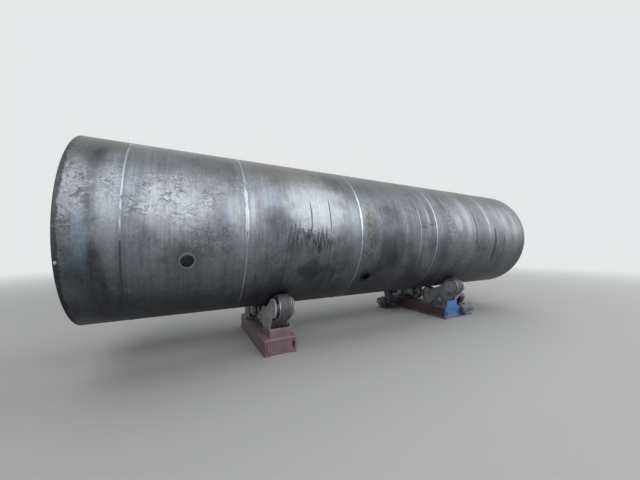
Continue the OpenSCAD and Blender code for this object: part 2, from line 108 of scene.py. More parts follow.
# Circles of bolts: radius, number of bolts, and the place of the first as an angle
KEEPER_DISC = (0.030, 3, math.pi / 2)
BEARING_COVER = (0.084, 8, 0.0)
BEARING_LID = (0.044, 4, 0.4)
OUTPUT_COVER = (0.076, 8, 0.2)
PIVOT_COVER = (0.076, 6, 0.4)


def colour_choice(name, description, code):
    """A colour that a user can change, with an sRGB hex value as its default."""
    return bpy.props.FloatVectorProperty(
        name=name, description=description, size=4, subtype="COLOR", default=linear(code),
    )


class StageSettings(bpy.types.PropertyGroup):
    """Camera, floor and backdrop."""

    camera_place: bpy.props.FloatVectorProperty(
        name="Camera place",
        description="Where the camera stands, measured from below the shell's middle",
        size=3, subtype="TRANSLATION", unit="LENGTH", default=(-3.317, -4.474, 1.615),
    )
    camera_aim: bpy.props.FloatVectorProperty(
        name="Camera aim",
        description="Direction that the camera looks in",
        size=3, subtype="DIRECTION", default=(0.478, 0.878, 0.0197),
    )
    camera_lens: bpy.props.FloatProperty(
        name="Camera lens", description="Focal length for a 36 mm sensor", default=14.55, unit="CAMERA",
    )
    floor_colour: colour_choice("Floor colour", "Plain pale floor", "#bcbdbc")
    sky_colour: colour_choice("Backdrop colour", "Plain backdrop above the floor", "#e6e8e9")


class ShellSettings(bpy.types.PropertyGroup):
    """Colours of the rolled plates and their welds."""

    scale_dark: colour_choice("Dark mill scale", "Thick blue-grey scale", "#42454b")
    scale_light: colour_choice("Light mill scale", "Thin or rubbed scale", "#8f9298")
    dust_colour: colour_choice("Dust", "Dust that lies on the top of the shell", "#605f5c")
    weld_colour: colour_choice("Weld metal", "Bare weld beads", "#cfd2d6")
    ripple: bpy.props.FloatProperty(
        name="Weld ripple", description="Distance between two ripples", default=0.012, unit="LENGTH",
    )


class RollsSettings(bpy.types.PropertyGroup):
    """Colours of the turning rolls."""

    idler_paint: colour_choice("Idler paint", "Maroon paint", "#806470")
    drive_paint: colour_choice("Drive paint", "Dark maroon paint", "#4c3138")
    front_paint: colour_choice("Drive front paint", "Blue paint", "#4c7fc6")
    casting: colour_choice("Castings", "Bare grey bogies", "#98999d")
    grime: colour_choice("Shop dust", "Grey dust on upward faces", "#8b8784")


def put(tree, kind, inputs=(), **settings):
    """Adds one shader node. A node or a socket among its inputs is linked, any other value is set."""
    made = tree.nodes.new("ShaderNode" + kind)
    for name, value in settings.items():
        setattr(made, name, value)
    if isinstance(inputs, dict):
        pairs = [(made.inputs[name], value) for name, value in inputs.items()]
    else:
        pairs = list(zip([socket for socket in made.inputs if socket.enabled], inputs))
    for socket, value in pairs:
        if isinstance(value, bpy.types.Node):
            value = next(out for out in value.outputs if out.enabled)
        if isinstance(value, bpy.types.NodeSocket):
            tree.links.new(value, socket)
        else:
            socket.default_value = value[:3] if socket.type == "VECTOR" else value
    return made


def new_material(name):
    """An empty material, its node tree, and the place in metres that its patterns are laid out by."""
    material = bpy.data.materials.new(name)
    material.use_nodes = True
    tree = material.node_tree
    tree.nodes.clear()
    return material, tree, put(tree, "TexCoord").outputs["Object"]


def dress(node_names, material):
    """Gives a material to nodes of the frame."""
    for name in node_names:
        for slot in nodes[name].material_slots:
            slot.material = material


# Colour, roughness and width of the edge, as a share of its size, of each kind of mark on the plates
MARK_LOOKS = {
    "ground": (linear("#d2d5d9"), 0.34, 0.6),
    "blue": (linear("#8296a8"), 0.40, 1.2),
    "brown": (linear("#595551"), 0.50, 1.0),
    "stain": (linear("#26282c"), 0.55, 0.35),
    # Painted shade: darker patches that stand in for weaker sheen and for shadow on the plate
    "shade": (linear("#2b2d31"), 0.50, 1.0),
    # Painted light: paler patches that stand in for the plate's sheen and reflections where they fall
    # brighter
    "painted_light": (linear("#adb2b6"), 0.42, 0.9),
    "olive": (linear("#6b6c62"), 0.60, 0.9),
    "run": (linear("#25272b"), 0.50, 0.30),
    "spatter": (linear("#dcdee0"), 0.35, 0.6),
}
SOFT_MARKS = ("painted_light", "shade", "blue", "brown", "olive")
CRISP_MARKS = ("stain", "run", "ground", "spatter")

# Marks of each course, as the photograph shows them: kind, metres along the shell, degrees above the
# horizontal on the shell's front, half length, half angle, strength, and how ragged the edge is. Where a
# mark is flaked, the scale has come off in places.
MARKS = {
    1: (
        ("shade", -4.02, 68, 0.36, 30, 0.40, 1.3),
        ("shade", -4.10, 40, 0.22, 14, 0.45, 1.6),
        ("flaked", -4.24, 24, 0.13, 28, 1.00, 1.5),
        ("flaked", -3.90, 27, 0.17, 14, 0.80, 1.5),
        ("painted_light", -4.22, 22, 0.10, 18, 0.25, 1.8),
        ("painted_light", -3.93, 12, 0.14, 34, 0.40, 1.4),
        ("blue", -4.18, -8, 0.07, 12, 0.42, 0.9),
        # A dark band round the course's outer end
        ("stain", -4.36, 0, 0.04, 400, 0.70, 2.0),
        ("flaked", -4.32, -14, 0.06, 26, 0.70, 1.6),
        ("shade", -4.05, -36, 0.07, 30, 0.35, 0.7),
        ("ground", -4.342, -17, 0.012, 0.8, 1.0, 0.1),
    ),
    2: (
        ("shade", -2.96, 46, 0.34, 16, 0.42, 1.6),
        ("flaked", -3.42, 17, 0.60, 15, 1.00, 1.8),
        ("flaked", -3.02, -2, 0.35, 12, 0.60, 2.0),
        ("shade", -3.233, -17.6, 0.19, 9, 0.55, 0.8),
        ("shade", -3.46, -16.5, 0.05, 1.6, 0.50, 1.4),
        ("blue", -2.84, 6, 0.05, 10, 0.30, 0.8),
        ("painted_light", -2.72, 12, 0.09, 10, 0.25, 1.4),
        ("brown", -2.68, 37, 0.10, 10, 0.30, 1.4),
        ("brown", -2.98, 0, 0.05, 16, 0.20, 1.2),
        ("painted_light", -3.36, 12, 0.36, 17, 0.42, 2.2),
        ("shade", -2.86, 2, 0.07, 12, 0.32, 1.4),
        ("painted_light", -3.30, -30, 0.40, 16, 0.22, 2.0),
        ("spatter", -2.66, 33, 0.06, 5, 1.0, 0.6),
        ("spatter", -2.62, 26, 0.05, 6, 0.8, 0.6),
    ),
    3: (
        ("painted_light", -2.49, 15, 0.04, 12, 0.35, 2.0),
        ("blue", -2.28, 22, 0.15, 6, 0.32, 1.6),
        ("brown", -2.47, -11, 0.05, 9, 0.35, 1.4),
        ("painted_light", -1.52, 19, 0.46, 22, 0.50, 2.0),
        ("olive", -1.95, 60, 0.60, 22, 0.50, 1.6),
        ("stain", -1.655, 12, 0.012, 11, 0.70, 0.4),
        ("stain", -1.34, 14, 0.012, 12, 0.70, 0.4),
        ("shade", -2.16, 6, 0.16, 10, 0.50, 1.2),
        ("flaked", -1.70, 1, 0.40, 11, 0.70, 2.2),
        ("run", -1.84, -3, 0.22, 4, 0.60, 1.2),
        ("run", -1.52, -5, 0.24, 4.5, 0.66, 1.2),
        ("spatter", -2.50, -12, 0.05, 4, 1.0, 0.6),
        ("spatter", -2.50, -33, 0.05, 5, 0.8, 0.6),
        ("spatter", -2.50, 30, 0.05, 10, 0.8, 0.6),
        ("stain", -1.522, -11.6, 0.05, 4, 0.50, 0.6),
        ("stain", -1.62, -28, 0.20, 8, 0.45, 1.6),
        ("stain", -1.30, -33, 0.16, 9, 0.45, 1.6),
        ("blue", -0.90, 9, 0.05, 14, 0.45, 0.6),
    ),
    4: (
        ("brown", -0.57, 8, 0.10, 20, 0.60, 2.2),
        ("flaked", -0.62, 8, 0.10, 30, 1.00, 1.2),
        ("shade", -0.529, -36.3, 0.14, 7, 0.60, 0.6),
        ("ground", 0.59, 2, 0.010, 40, 0.25, 0.4),
        ("painted_light", 0.82, 18, 0.035, 10, 0.25, 0.8),
        ("stain", 0.71, 7, 0.09, 1.2, 0.45, 0.5),
        ("stain", 0.88, 9.7, 0.11, 1.2, 0.45, 0.5),
        ("shade", -0.08, -4, 0.26, 34, 0.40, 1.0),
        ("olive", 0.1, 70, 0.7, 24, 0.25, 1.4),
    ),
    5: (
        ("flaked", 1.50, 10, 0.17, 20, 1.00, 1.4),
        ("painted_light", 1.745, 13, 0.12, 10, 0.25, 1.2),
        ("stain", 2.33, 15, 0.017, 24, 0.85, 0.3),
        ("stain", 2.308, -5.2, 0.03, 2.6, 0.60, 0.4),
        ("shade", 1.32, -6, 0.12, 24, 0.30, 1.4),
        ("painted_light", 2.10, 18, 0.09, 30, 0.18, 0.6),
    ),
    6: (
        ("stain", 3.05, -8, 0.055, 22, 0.75, 0.8),
        ("painted_light", 3.57, 10, 0.12, 24, 0.25, 1.0),
        ("painted_light", 3.95, 4, 0.09, 30, 0.18, 1.0),
        ("olive", 4.32, 0, 0.07, 400, 0.40, 1.2),
    ),
}

# Tone of each course, from its place in the photograph
COURSE_TONES = {1: -0.14, 2: 0.14, 3: 0.10, 4: -0.03, 5: 0.00, 6: -0.02}

# Ground strips beside the girth welds, at the same places as the beads' bright stretches: seam, degrees,
# half angle, half width and strength. Most lie where the shell's sheen falls, and there they are partly
# painted highlight.
SEAM_STRIPS = (
    (0, 36, 30, 0.007, 0.50), (0, 8, 12, 0.005, 0.25),
    (1, 17, 22, 0.022, 0.50), (1, 52, 34, 0.008, 0.45), (1, -28, 28, 0.010, 0.42),
    (2, 12, 26, 0.014, 0.75), (2, 0, 66, 0.008, 0.5), (3, 14, 40, 0.014, 0.65), (3, -5, 64, 0.008, 0.45),
    (4, 30, 38, 0.013, 0.65),
    # On the side turned away
    (0, 150, 26, 0.010, 0.4), (1, 138, 30, 0.012, 0.5), (2, 158, 24, 0.010, 0.5), (3, 134, 34, 0.012, 0.5),
    (4, 150, 26, 0.010, 0.5),
)

# Long seam of each course, in degrees above the horizontal on the front: all on the side turned away
LONG_SEAMS = {1: 126, 2: 152, 3: -138, 4: 164, 5: -150, 6: 140}

BARE_METAL = MARK_LOOKS["ground"]
HEAT_BLUE = linear("#7f93a6")
HEAT_BROWN = linear("#5e4f4a")


def shell_place(tree, place):
    """Metres along the shell and degrees above the horizontal on its front, as a vector."""
    axes = put(tree, "SeparateXYZ", [place]).outputs
    rise = put(tree, "Math", [axes["Z"], AXIS_HEIGHT], operation="SUBTRACT")
    out = put(tree, "Math", [axes["Y"], -1.0], operation="MULTIPLY")
    turn = put(tree, "Math", [rise, out], operation="ARCTAN2")
    angle = put(tree, "Math", [turn], operation="DEGREES")
    return put(tree, "CombineXYZ", [axes["X"], angle])


def stretched_pattern(tree, place, stretch, detail, roughness=0.5, distortion=0.0):
    """A noise with its own number of features to the metre along each axis."""
    stretched = put(tree, "VectorMath", [place, stretch], operation="MULTIPLY")
    return put(tree, "TexNoise", {
        "Vector": stretched, "Scale": 1.0, "Detail": detail, "Roughness": roughness,
        "Distortion": distortion})


def distance_from(tree, value, centre):
    """How far a value lies from a centre, on either side."""
    off = put(tree, "Math", [value, centre], operation="SUBTRACT")
    return put(tree, "Math", [off], operation="ABSOLUTE")


def end_material(tree, colour, rough, relief, rise, strength, metallic=0.0):
    """Joins colour, roughness and a relief to the material's surface."""
    normal = put(tree, "Bump", {"Height": relief, "Distance": rise, "Strength": strength})
    surface = put(tree, "BsdfPrincipled", {
        "Base Color": colour, "Metallic": metallic, "Roughness": rough, "Normal": normal})
    put(tree, "OutputMaterial", [surface])


def mark_mask(tree, spot, ragged, centre, half, strength, raggedness, soft=0.7):
    """How strongly a mark covers a point, with a soft and ragged edge."""
    away = put(tree, "VectorMath", [spot, (centre[0], centre[1], 0)], operation="SUBTRACT")
    away = put(tree, "VectorMath", [away, (1 / half[0], 1 / half[1], 0)], operation="MULTIPLY")
    far = put(tree, "VectorMath", [away], operation="LENGTH").outputs["Value"]
    far = put(tree, "Math", [ragged, raggedness, far], operation="MULTIPLY_ADD")
    inner, outer = 0.95 - soft / 2, 0.95 + soft / 2
    return put(tree, "MapRange", [far, outer, inner, 0.0, strength], interpolation_type="SMOOTHSTEP")


def lay_marks(tree, number, kinds, patterns, colour, rough):
    """Lays a course's marks of some kinds over its colour and roughness, one after the other."""
    spot, spiked, drops, ragged = patterns
    for kind, x, above, half_x, half_angle, strength, raggedness in MARKS[number]:
        if kind not in kinds:
            continue
        mark_colour, mark_rough, soft = MARK_LOOKS[kind]
        where = spiked if kind == "run" else spot
        mask = mark_mask(tree, where, ragged, (x, above), (half_x, half_angle), strength, raggedness, soft)
        if kind == "spatter":
            mask = put(tree, "Math", [mask, drops], operation="MULTIPLY")
        colour = put(tree, "Mix", [mask, colour, mark_colour], data_type="RGBA")
        rough = put(tree, "Mix", [mask, rough, mark_rough])
    return colour, rough


def flake_off(tree, number, place, spot, ragged, colour, rough):
    """Scale that has come off in flakes: bright bare spots, dark crusts, and the curled edges between,
    drawn 15 mm wide so that they show. Also gives the relief of the crusts."""
    flaked = put(tree, "TexNoise", {"Vector": place, "Scale": 1.9, "Detail": 2.0})
    flaked = put(tree, "MapRange", [flaked, 0.54, 0.66, 0.0, 0.35], interpolation_type="SMOOTHSTEP")
    for kind, x, above, half_x, half_angle, strength, raggedness in MARKS[number]:
        if kind == "flaked":
            mask = mark_mask(tree, spot, ragged, (x, above), (half_x, half_angle), strength, raggedness)
            flaked = put(tree, "Math", [flaked, mask], operation="MAXIMUM")
    patchy = put(tree, "TexNoise", {"Vector": place, "Scale": 5.5, "Detail": 4.0, "Roughness": 0.6})
    patchy = put(tree, "MapRange", [patchy, 0.40, 0.60, 0.15, 1.0])
    flaked = put(tree, "Math", [flaked, patchy], operation="MULTIPLY")
    crust = stretched_pattern(tree, place, (18.0, 34.0, 34.0), 6.0, 0.68, 0.9)
    flake = put(tree, "TexNoise", {
        "Vector": place, "Scale": 7.0, "Detail": 4.0, "Roughness": 0.62, "Distortion": 1.4})
    edge = distance_from(tree, flake, 0.5)
    for pattern, low, high, strength, shade, bare_rough in (
        (crust, 0.52, 0.62, 0.50, "#b4b8bf", 0.28),
        (crust, 0.47, 0.38, 0.50, "#2a2c30", None),
        (edge, 0.034, 0.006, 0.75, "#222428", None),
    ):
        mask = put(tree, "MapRange", [pattern, low, high, 0.0, strength])
        mask = put(tree, "Math", [mask, flaked], operation="MULTIPLY")
        colour = put(tree, "Mix", [mask, colour, linear(shade)], data_type="RGBA")
        if bare_rough:
            rough = put(tree, "Mix", [mask, rough, bare_rough])
    return colour, rough, put(tree, "Math", [crust, flaked], operation="MULTIPLY")


def tint_girth_seams(tree, number, along, ragged, colour):
    """Heat tint on both sides of each girth weld, brown then blue, 30 to 110 mm from the bead."""
    for seam in SEAMS[max(0, number - 2) : number]:
        off = distance_from(tree, along, seam)
        off = put(tree, "Math", [ragged, 0.10, off], operation="MULTIPLY_ADD")
        for far, near, strength, tint in ((0.13, 0.05, 0.16, HEAT_BLUE), (0.06, 0.02, 0.25, HEAT_BROWN)):
            mask = put(tree, "MapRange", [off, far, near, 0.0, strength], interpolation_type="SMOOTHSTEP")
            colour = put(tree, "Mix", [mask, colour, tint], data_type="RGBA")
    return colour


def grind_seams(tree, number, spot, ragged, colour, rough):
    """Strips ground bright beside the girth welds, partly painted highlight where the shell's sheen falls,
    and the tints and ground strip of the long seam.
    """
    for seam, above, half_angle, width, strength in SEAM_STRIPS:
        if seam in (number - 2, number - 1):
            mask = mark_mask(tree, spot, ragged, (SEAMS[seam], above), (width, half_angle), strength, 3.5)
            colour = put(tree, "Mix", [mask, colour, BARE_METAL[0]], data_type="RGBA")
            rough = put(tree, "Mix", [mask, rough, BARE_METAL[1]])
    # The long seam's tints and ground strip run the whole length of the course
    long_seam = (middle(COURSES[number - 1]).x, LONG_SEAMS[number])
    seam_tints = ((HEAT_BLUE, 5.0, 0.3), (HEAT_BROWN, 2.6, 0.4), (BARE_METAL[0], 1.2, 0.5))
    for tint, half_angle, strength in seam_tints:
        mask = mark_mask(tree, spot, ragged, long_seam, (6.0, half_angle), strength, 1.2)
        colour = put(tree, "Mix", [mask, colour, tint], data_type="RGBA")
    return colour, rough


def rolled_plate(number, settings):
    """Hot rolled carbon steel plate, bent on rolls: dull blue-grey mill scale that clouds, streaks round
    the shell where the rolls pressed it, and flakes off in ragged spots. The metal under the thin oxide
    gives broad, soft highlights."""
    material, tree, place = new_material("hot rolled plate %d" % number)
    axes = put(tree, "SeparateXYZ", [place]).outputs
    spot = shell_place(tree, place)

    # Clouds of thin and thick scale are half a metre across, roll streaks 20 to 150 mm wide
    cloud = put(tree, "TexNoise", {"Vector": place, "Scale": 1.7, "Detail": 4.0, "Roughness": 0.6})
    band = stretched_pattern(tree, place, (4.0, 0.45, 0.45), 5.0, 0.65)
    streak = stretched_pattern(tree, place, (40.0, 1.6, 1.6), 6.0, 0.72)
    # Scale flakes are 20 to 60 mm across
    mottle = put(tree, "TexNoise", {
        "Vector": place, "Scale": 15.0, "Detail": 8.0, "Roughness": 0.70, "Distortion": 0.6})
    ragged = put(tree, "TexNoise", {"Vector": place, "Scale": 5.0, "Detail": 7.0, "Roughness": 0.68})
    # Moved to swing round zero, it frays the edges of the marks
    ragged = put(tree, "Math", [ragged, 0.5], operation="SUBTRACT")

    # Four patterns of mean 0.5 add up to 1.675, which this brings down to a tone between dark and light
    tone = COURSE_TONES[number] - 1.30
    for pattern, share in ((cloud, 1.35), (band, 0.80), (streak, 0.55), (mottle, 0.65)):
        tone = put(tree, "Math", [pattern, share, tone], operation="MULTIPLY_ADD")
    colour = put(tree, "Mix", [tone, settings.scale_dark, settings.scale_light], data_type="RGBA")
    rough = put(tree, "MapRange", [mottle, 0.3, 0.7, 0.36, 0.50])

    # Run marks end in spikes 10 to 40 mm wide that stand round the shell, spatter lies in 6 mm drops that
    # are drawn 12 mm wide so that they show
    spike = stretched_pattern(tree, place, (34.0, 1.5, 1.5), 4.0, 0.65)
    spike = put(tree, "MapRange", [spike, 0.0, 1.0, -23.0, 23.0])
    spiked = put(tree, "VectorMath", [spot, put(tree, "CombineXYZ", {"Y": spike})], operation="ADD")
    drops = put(tree, "TexVoronoi", {"Vector": place, "Scale": 30.0}).outputs["Distance"]
    drops = put(tree, "MapRange", [drops, 0.20, 0.12, 0.0, 1.0])
    patterns = (spot, spiked, drops, ragged)
    colour, rough = lay_marks(tree, number, SOFT_MARKS, patterns, colour, rough)

    # Pores and rubbed specks of the scale are 2 to 8 mm wide, drawn 10 to 25 mm wide so that they show
    specks = stretched_pattern(tree, place, (42.0, 30.0, 30.0), 5.0, 0.8)
    specks = put(tree, "Math", [streak, 0.5, specks], operation="MULTIPLY_ADD")
    specks = put(tree, "MapRange", [specks, 0.55, 0.95, 0.80, 1.20])
    colour = put(tree, "VectorMath", {0: colour, "Scale": specks}, operation="SCALE")

    colour, rough, crusts = flake_off(tree, number, place, spot, ragged, colour, rough)
    colour = tint_girth_seams(tree, number, axes["X"], ragged, colour)
    colour, rough = lay_marks(tree, number, CRISP_MARKS, patterns, colour, rough)
    colour, rough = grind_seams(tree, number, spot, ragged, colour, rough)

    # The underside is painted darker, as painted shade, and shop dust dulls the top
    bottom, top = AXIS_HEIGHT - SHELL_RADIUS, AXIS_HEIGHT + SHELL_RADIUS
    rise = put(tree, "MapRange", [axes["Z"], bottom, top, -1.0, 1.0])
    rise = put(tree, "Math", [ragged, 0.7, rise], operation="MULTIPLY_ADD")
    below = put(tree, "MapRange", [rise, -0.12, -0.88, 0.0, 0.74], interpolation_type="SMOOTHSTEP")
    colour = put(tree, "Mix", [below, colour, linear("#292c31")], data_type="RGBA")
    dust = put(tree, "MapRange", [rise, 0.60, 0.86, 0.0, 0.5], interpolation_type="SMOOTHSTEP")
    colour = put(tree, "Mix", [dust, colour, settings.dust_colour], data_type="RGBA")
    rough = put(tree, "Mix", [dust, rough, 0.75])
    metal = put(tree, "MapRange", [dust, 0.0, 0.5, 0.80, 0.35])

    # Shallow waves of the rolled plate, 3 mm in 0.8 m, and the relief of its scale
    wave = put(tree, "TexNoise", {"Vector": place, "Scale": 1.3, "Detail": 2.0, "Roughness": 0.4})
    relief = 0.0
    for pattern, height in ((wave, 0.010), (band, 0.0012), (mottle, 0.0030), (crusts, 0.0050)):
        relief = put(tree, "Math", [pattern, height, relief], operation="MULTIPLY_ADD")
    end_material(tree, colour, rough, relief, 1.0, 1.0, metal)
    return material


def weld_metal(number, settings):
    """Submerged arc weld metal: bright silver-grey ripples in stretches, partly wire brushed metal and
    partly painted highlight where the shell's sheen falls, and dull grey ones with dark slag elsewhere."""
    material, tree, place = new_material("brushed weld metal %d" % number)
    spot = shell_place(tree, place)
    ragged = put(tree, "TexNoise", {"Vector": place, "Scale": 9.0, "Detail": 5.0, "Roughness": 0.7})
    ragged = put(tree, "Math", [ragged, 0.5], operation="SUBTRACT")
    slag = put(tree, "TexNoise", {"Vector": place, "Scale": 6.0, "Detail": 6.0, "Roughness": 0.7})
    # The first girth weld keeps more of its slag
    slag_colour, least = ("#43454a", 0.05) if number == 1 else ("#4e5054", 0.16)
    brushed_and_sheen = put(tree, "MapRange", [slag, 0.45, 0.65, least, 0.0])
    # The bright stretches lie at the seam strips, mostly where the shell's sheen falls: partly brushed
    # metal, partly painted highlight
    for seam, above, half_angle, width, strength in SEAM_STRIPS:
        if seam == number - 1:
            mask = mark_mask(tree, spot, ragged, (SEAMS[seam], above), (1.0, half_angle), strength, 4.0)
            brushed_and_sheen = put(tree, "Math", [brushed_and_sheen, mask], operation="MAXIMUM")
    colour = put(tree, "Mix", [brushed_and_sheen, linear(slag_colour), settings.weld_colour], data_type="RGBA")
    rough = put(tree, "MapRange", [brushed_and_sheen, 0.0, 0.8, 0.55, 0.32])
    fine = put(tree, "TexNoise", {"Vector": place, "Scale": 160.0, "Detail": 3.0})
    end_material(tree, colour, rough, fine, 0.0012, 0.7, 0.9)
    return material


def neck_steel(name, dark, light):
    """Forged steel neck, turned on a lathe and welded in: a paler end face, and a bore and a fillet weld
    painted nearly black as painted shade."""
    material, tree, place = new_material(name)
    cloud = put(tree, "TexNoise", {"Vector": place, "Scale": 22.0, "Detail": 5.0})
    colour = put(tree, "Mix", [cloud, linear(dark), linear(light)], data_type="RGBA")
    away = put(tree, "VectorMath", [place, (0, 0, AXIS_HEIGHT)], operation="SUBTRACT")
    away = put(tree, "VectorMath", [away, (0, 1, 1)], operation="MULTIPLY")
    away = put(tree, "VectorMath", [away], operation="LENGTH").outputs["Value"]
    # The end face stands 16 mm over the plate, the fillet weld reaches up to 11 mm, the bore goes inwards
    # Painted shade: below the end face, the fillet weld and the bore go nearly black
    low = put(tree, "MapRange", [away, SHELL_RADIUS + 0.0135, SHELL_RADIUS + 0.0115, 0.0, 0.75])
    colour = put(tree, "Mix", [low, colour, linear("#1d1e21")], data_type="RGBA")
    rough = put(tree, "MapRange", [cloud, 0.3, 0.7, 0.36, 0.55])
    end_material(tree, colour, rough, cloud, 0.001, 0.5, 0.9)
    return material


def dusty_paint(name, paint, dust, rough=0.5, chips=0.35, dust_share=0.75, second=None, region=None,
                splash=linear("#6d6661"), rim=None):
    """Brushed machine enamel on flame cut steel: dull sheen, chipped to dark steel in spots, pale along its
    rim from wear and painted highlight, with shop dust on every upward face. A second paint may cover one
    region."""
    material, tree, place = new_material(name)
    axes = put(tree, "SeparateXYZ", [place]).outputs
    cloud = put(tree, "TexNoise", {"Vector": place, "Scale": 6.0, "Detail": 5.0, "Roughness": 0.6})
    swing = put(tree, "Math", [cloud, 0.5], operation="SUBTRACT")
    grain = put(tree, "TexNoise", {"Vector": place, "Scale": 55.0, "Detail": 4.0, "Roughness": 0.6})
    shade = put(tree, "MapRange", [cloud, 0.3, 0.7, 0.72, 1.22])
    colour = paint
    if second:
        inside = region(tree, axes, swing)
        colour = put(tree, "Mix", [inside, paint, second], data_type="RGBA")
    colour = put(tree, "VectorMath", {0: colour, "Scale": shade}, operation="SCALE")
    # Chips are 10 to 30 mm wide
    chip = put(tree, "TexNoise", {"Vector": place, "Scale": 28.0, "Detail": 6.0, "Roughness": 0.7})
    chip = put(tree, "MapRange", [chip, 0.60, 0.63, 0.0, chips])
    colour = put(tree, "Mix", [chip, colour, linear("#3a3536")], data_type="RGBA")
    # Splashed dirt reaches 80 mm up from the floor, and a little higher and thicker on a second paint
    foot = put(tree, "Math", [cloud, 0.16, axes["Z"]], operation="MULTIPLY_ADD")
    if second:
        foot = put(tree, "Math", [inside, -0.06, foot], operation="MULTIPLY_ADD")
    foot = put(tree, "MapRange", [foot, 0.15, 0.06, 0.0, 0.62], interpolation_type="SMOOTHSTEP")
    colour = put(tree, "Mix", [foot, colour, splash], data_type="RGBA")
    if rim:
        # A pale line along the rim: rubbed paint, and painted highlight where the edge catches the light
        low, high = rim
        worn_and_highlight = put(tree, "MapRange", [axes["Z"], low - 0.003, low, 0.0, 1.0])
        worn_and_highlight = put(tree, "MapRange", [axes["Z"], high, high + 0.003, worn_and_highlight, 0.0])
        rubbed = put(tree, "MapRange", [grain, 0.35, 0.6, 0.1, 0.65])
        worn_and_highlight = put(tree, "Math", [worn_and_highlight, rubbed], operation="MULTIPLY")
        colour = put(tree, "Mix", [worn_and_highlight, colour, linear("#b0a8ac")], data_type="RGBA")
    up = put(tree, "SeparateXYZ", [put(tree, "TexCoord").outputs["Normal"]]).outputs["Z"]
    up = put(tree, "Math", [swing, 1.4, up], operation="MULTIPLY_ADD")
    lying = put(tree, "MapRange", [up, 0.15, 0.75, 0.08, dust_share], interpolation_type="SMOOTHSTEP")
    colour = put(tree, "Mix", [lying, colour, dust], data_type="RGBA")
    rough = put(tree, "Mix", [lying, rough, 0.85])
    relief = put(tree, "Math", [grain, cloud], operation="ADD")
    end_material(tree, colour, rough, relief, 0.0012, 0.7)
    return material


def bare_steel(name, dark, light, rough, grain_stretch=(40.0, 40.0, 40.0), metallic=0.9):
    """Turned or flame cut steel left bare: grey with darker oil stains, and tool marks along one axis."""
    material, tree, place = new_material(name)
    grain = stretched_pattern(tree, place, grain_stretch, 4.0)
    stain = put(tree, "TexNoise", {"Vector": place, "Scale": 9.0, "Detail": 5.0})
    tone = put(tree, "Math", [grain, stain], operation="ADD")
    tone = put(tree, "MapRange", [tone, 0.7, 1.3])
    colour = put(tree, "Mix", [tone, linear(dark), linear(light)], data_type="RGBA")
    roughness = put(tree, "MapRange", [stain, 0.3, 0.7, rough - 0.08, rough + 0.12])
    end_material(tree, colour, roughness, grain, 0.0008, 0.6, metallic)
    return material


def zinc_plate(name):
    """Zinc plated steel of bolts and fittings: pale grey, duller than chrome."""
    return bare_steel(name, "#85878a", "#cbccce", 0.38, metallic=0.7)


def tyre_rubber():
    """Cast polyurethane tyre gone grey: matt, with rings rubbed round it by the plate and steel dust."""
    material, tree, place = new_material("worn polyurethane tyre")
    # Rubbed rings are 4 to 15 mm wide
    ring = stretched_pattern(tree, place, (110.0, 2.5, 2.5), 3.0)
    spots = put(tree, "TexNoise", {"Vector": place, "Scale": 30.0, "Detail": 5.0})
    tone = put(tree, "Math", [ring, spots], operation="ADD")
    tone = put(tree, "MapRange", [tone, 0.8, 1.2])
    colour = put(tree, "Mix", [tone, linear("#2e2f32"), linear("#57585c")], data_type="RGBA")
    end_material(tree, colour, 0.6, ring, 0.0012, 0.8)
    return material


def end_region(tree, axes, swing):
    """The drive unit's two end faces, from a ragged line near the floor upwards."""
    out = put(tree, "Math", [axes["Y"]], operation="ABSOLUTE")
    out = put(tree, "MapRange", [out, YOKE_FRONT - 0.020, YOKE_FRONT - 0.017])
    beside = distance_from(tree, axes["X"], UNIT_X["drive"])
    beside = put(tree, "MapRange", [beside, FRAME_HALF + 0.002, FRAME_HALF])
    rise = put(tree, "Math", [swing, 0.12, axes["Z"]], operation="MULTIPLY_ADD")
    rise = put(tree, "MapRange", [rise, 0.015, 0.025])
    face = put(tree, "Math", [out, beside], operation="MULTIPLY")
    return put(tree, "Math", [face, rise], operation="MULTIPLY")


def apron_region(tree, axes, swing):
    """The plates between the side plates of the idler's bogies."""
    beside = distance_from(tree, axes["X"], UNIT_X["idler"])
    return put(tree, "MapRange", [beside, BOGIE_HALF + 0.002, BOGIE_HALF])


def ear_region(tree, axes, swing):
    """The upper half of the idler's ears, rubbed to grey."""
    rise = put(tree, "Math", [swing, 0.25, axes["Z"]], operation="MULTIPLY_ADD")
    return put(tree, "MapRange", [rise, 0.36, 0.42])


def start_clean():
    """Leaves edit mode and selects nothing."""
    if bpy.context.object and bpy.context.object.mode != "OBJECT":
        bpy.ops.object.mode_set(mode="OBJECT")
    bpy.ops.object.select_all(action="DESELECT")


def apply_place():
    bpy.ops.object.transform_apply(location=True, rotation=True, scale=True)


def open_mesh():
    """Applies the active object's place and opens its mesh, with all of it selected."""
    apply_place()
    bpy.ops.object.mode_set(mode="EDIT")
    bpy.ops.mesh.select_all(action="SELECT")


def close_mesh():
    """Turns every face of the open mesh outwards and closes it."""
    bpy.ops.mesh.select_all(action="SELECT")
    bpy.ops.mesh.normals_make_consistent(inside=False)
    bpy.ops.object.mode_set(mode="OBJECT")


def select_where(test, kind="verts"):
    """Selects the verts, edges or faces of the open mesh that pass a test."""
    bpy.ops.mesh.select_all(action="DESELECT")
    bpy.ops.mesh.select_mode(type=kind[:-1].upper())
    mesh = bpy.context.object.data
    shape = bmesh.from_edit_mesh(mesh)
    for item in getattr(shape, kind):
        item.select_set(test(item))
    shape.select_flush_mode()
    bmesh.update_edit_mesh(mesh)


